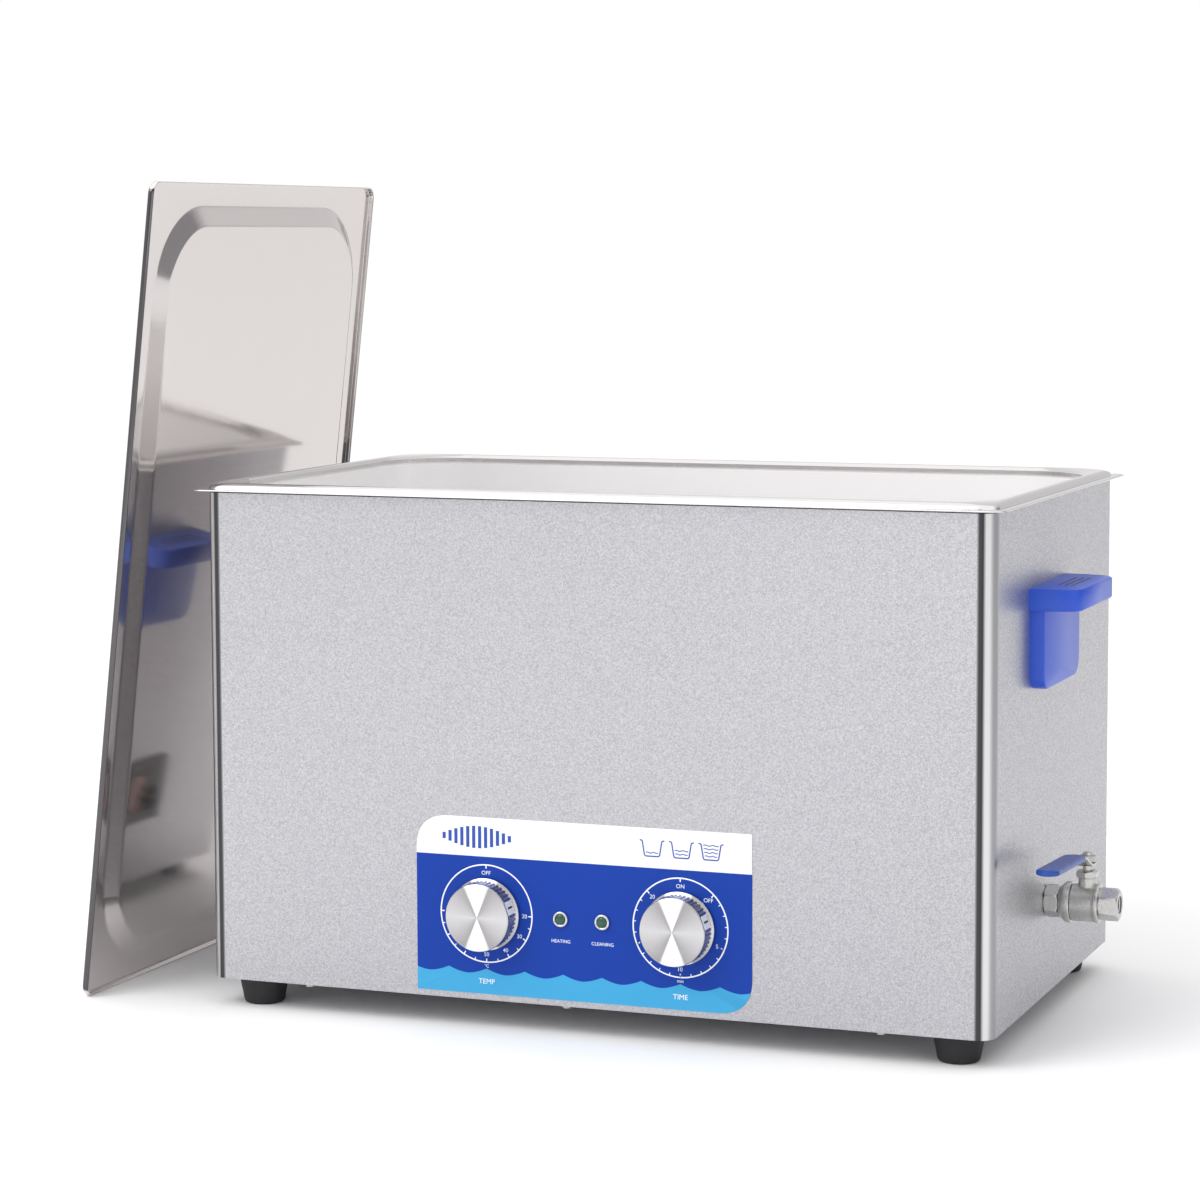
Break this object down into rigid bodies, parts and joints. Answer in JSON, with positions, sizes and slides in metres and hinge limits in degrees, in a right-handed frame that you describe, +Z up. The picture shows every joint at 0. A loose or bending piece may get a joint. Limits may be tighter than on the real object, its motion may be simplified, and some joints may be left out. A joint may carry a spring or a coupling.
{
  "type": "ultrasonic cleaner",
  "caption": "Bench ultrasonic cleaner: stainless tank in a boxy casing on rubber feet, front dials, side handles, drain valve with lever, and a loose lid stood against its side.",
  "frame": {"origin": "on the floor plane, midway between the feet", "axes": "+X to the right seen from the control panel, +Y to the back, +Z up"},
  "size_m": [0.6633, 0.3342, 0.5272],
  "materials": {
    "mirror_steel": "mirror polished",
    "satin_steel": "brushed",
    "machined_steel": "machined",
    "zinc_steel": "zinc plated",
    "rubber": "matte",
    "silicone": "matte",
    "panel_film": "satin print",
    "knob_aluminium": "spun",
    "lens_green": "translucent",
    "chrome_trim": "polished",
    "blue_plastic": "moulded",
    "blue_vinyl": "dipped",
    "black_plastic": "moulded",
    "red_plastic": "moulded",
    "ptfe": "turned",
    "aluminium": "machined",
    "ceramic": "fired",
    "brass": "plated",
    "circuit_board": "lacquered",
    "copper_wire": "enamelled",
    "ferrite": "fired"
  },
  "bodies": {
    "housing": {"back_masses": "machined_steel", "base_plate": "satin_steel", "base_screws": "zinc_steel", "board_standoffs": "brass", "bushing_nuts": "zinc_steel", "casing_shell": "satin_steel", "clamp_bolts": "zinc_steel", "control_panel": "panel_film", "drain_hose": "silicone", "drain_spigot": "machined_steel", "electrode_plates": "brass", "fan_guard": "chrome_trim", "fan_housing": "black_plastic", "fan_screws": "zinc_steel", "feet": "rubber", "filter_capacitors": "aluminium", "foot_nuts": "zinc_steel", "foot_screws": "zinc_steel", "generator_board": "circuit_board", "handle_left": "blue_plastic", "handle_right": "blue_plastic", "handle_screws": "zinc_steel", "heat_sink": "aluminium", "heater_pads": "silicone", "hose_clamps": "zinc_steel", "inlet_pins": "brass", "lamp_bezels": "chrome_trim", "lamp_bodies": "black_plastic", "lamp_lenses": "lens_green", "nipple_lock_nut": "machined_steel", "output_transformer": "ferrite", "packing_nut": "machined_steel", "piezo_rings": "ceramic", "power_inlet": "black_plastic", "power_transistors": "black_plastic", "rim_gasket": "silicone", "spigot_nut": "machined_steel", "tank": "mirror_steel", "thermostat": "black_plastic", "thermostat_sensor": "copper_wire", "timer_switch": "black_plastic", "transducer_horns": "aluminium", "valve_body": "machined_steel", "valve_end_piece": "machined_steel", "valve_seats": "ptfe", "wall_nipple": "machined_steel"},
    "temperature_dial": {"knob_temperature": "knob_aluminium", "shaft_temperature": "machined_steel"},
    "timer_dial": {"knob_timer": "knob_aluminium", "shaft_timer": "machined_steel"},
    "drain_lever": {"valve_ball": "chrome_trim", "valve_stem": "machined_steel", "valve_lever": "machined_steel", "lever_grip": "blue_vinyl", "lever_nut": "zinc_steel"},
    "power_rocker": {"rocker_switch": "red_plastic"},
    "fan_wheel": {"fan_rotor": "black_plastic"},
    "fuse_tray": {"fuse_drawer": "black_plastic"},
    "lid_sheet": {"lid": "mirror_steel", "lid_handle": "mirror_steel"}
  },
  "joints": [
    {"name": "temperature_turn", "type": "hinge", "parent": "housing", "child": "temperature_dial", "pos_m": [-0.0648, -0.16, 0.0733], "axis": [0, 1, 0], "range_deg": [-71, 199]},
    {"name": "timer_turn", "type": "hinge", "parent": "housing", "child": "timer_dial", "pos_m": [0.0632, -0.16, 0.0733], "axis": [0, 1, 0], "range_deg": [-71, 244]},
    {"name": "drain_turn", "type": "hinge", "parent": "housing", "child": "drain_lever", "pos_m": [0.284, -0.023, 0.0785], "axis": [0, 0, 1], "range_deg": [0, 90]},
    {"name": "power_rock", "type": "hinge", "parent": "housing", "child": "power_rocker", "pos_m": [-0.2555, 0.0065, 0.088], "axis": [0, 1, 0], "range_deg": [0, 10]},
    {"name": "fan_spin", "type": "hinge", "parent": "housing", "child": "fan_wheel", "pos_m": [-0.12, 0.142, 0.07], "axis": [0, 1, 0], "continuous": true},
    {"name": "fuse_slide", "type": "slide", "parent": "housing", "child": "fuse_tray", "axis": [-1, 0, 0], "range_m": [0, 0.014]},
    {"name": "lid_lift", "type": "slide", "parent": "housing", "child": "lid_sheet", "axis": [0, 0, 1], "range_m": [0, 0.45]}
  ]
}
